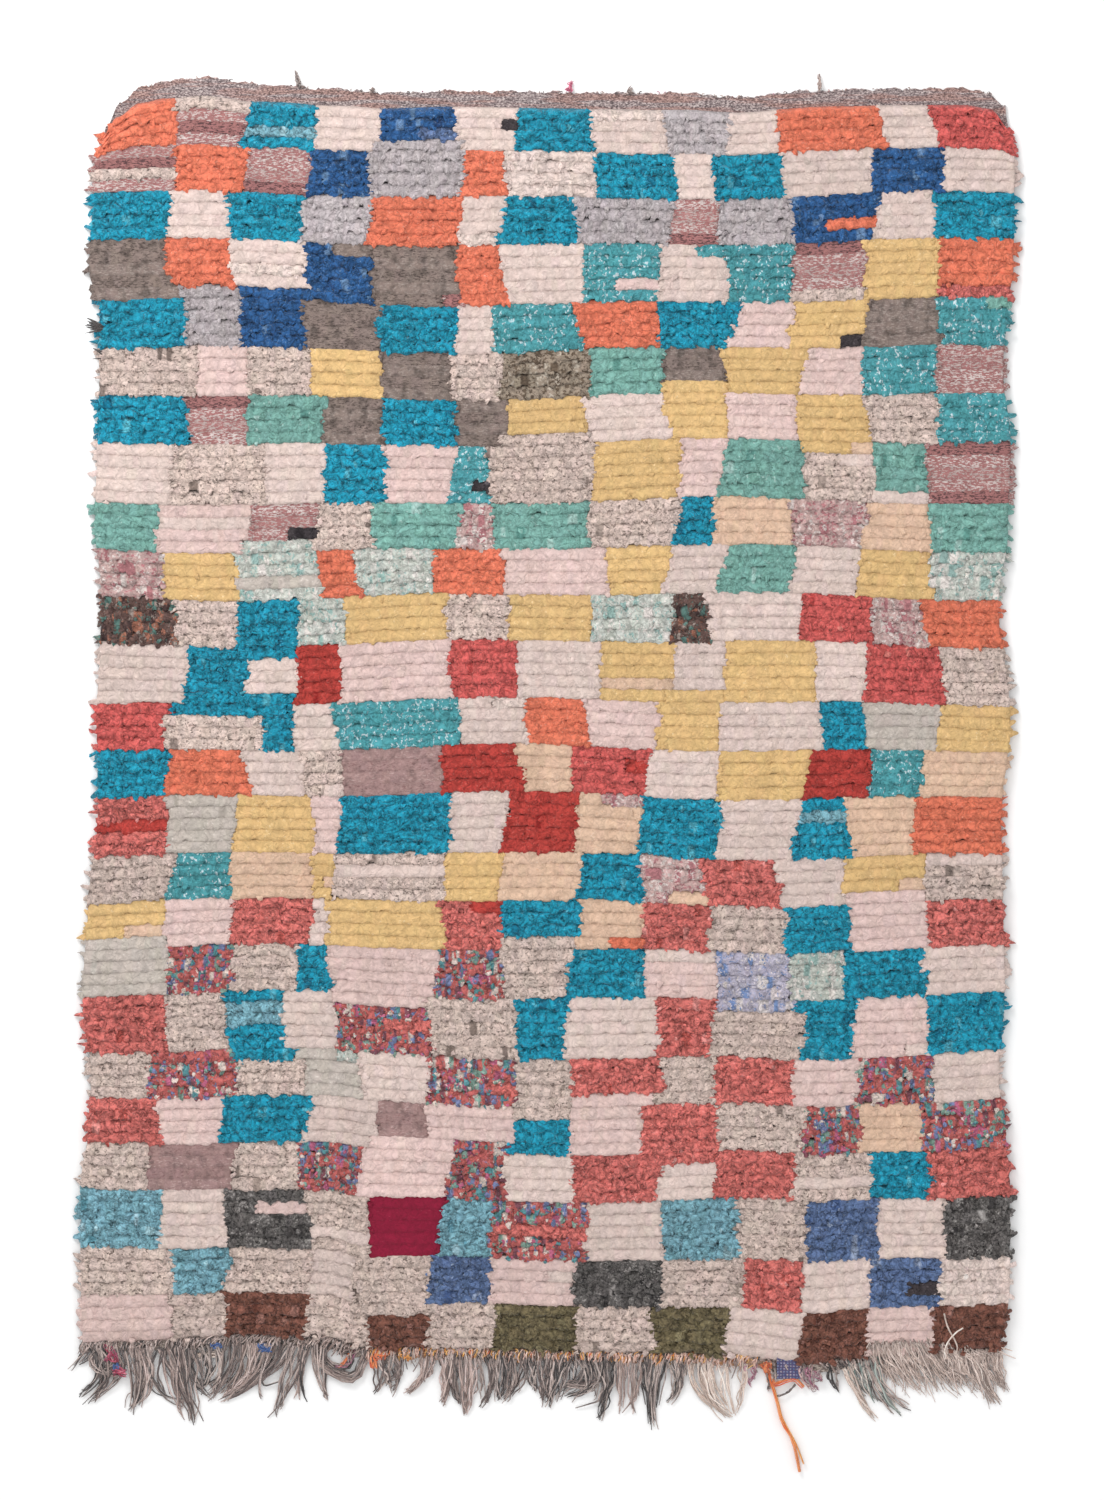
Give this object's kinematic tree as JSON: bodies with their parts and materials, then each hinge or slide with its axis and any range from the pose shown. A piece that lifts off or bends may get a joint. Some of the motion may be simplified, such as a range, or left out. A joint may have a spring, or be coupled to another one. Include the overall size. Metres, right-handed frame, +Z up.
{
  "type": "boucherouite rug",
  "caption": "Oblong shaggy rag rug lying flat, knotted in rows that form a loose check of coloured blocks, with a plain web end and a fringe of warp ends.",
  "frame": {"origin": "middle of the cloth's flat underside, on the floor", "axes": "+Z up out of the pile, +Y along the rug towards its plain web end and away from the fringe, +X across the rug"},
  "size_m": [1.547, 2.2894, 0.0245],
  "materials": {
    "rag_pile": "cut rags of cotton, wool and jersey in many colours, matt",
    "warp_fringe": "plied grey-brown wool warp ends, matt"
  },
  "bodies": {
    "root": {"rag_pile": "rag_pile", "warp_fringe": "warp_fringe"}
  },
  "joints": []
}
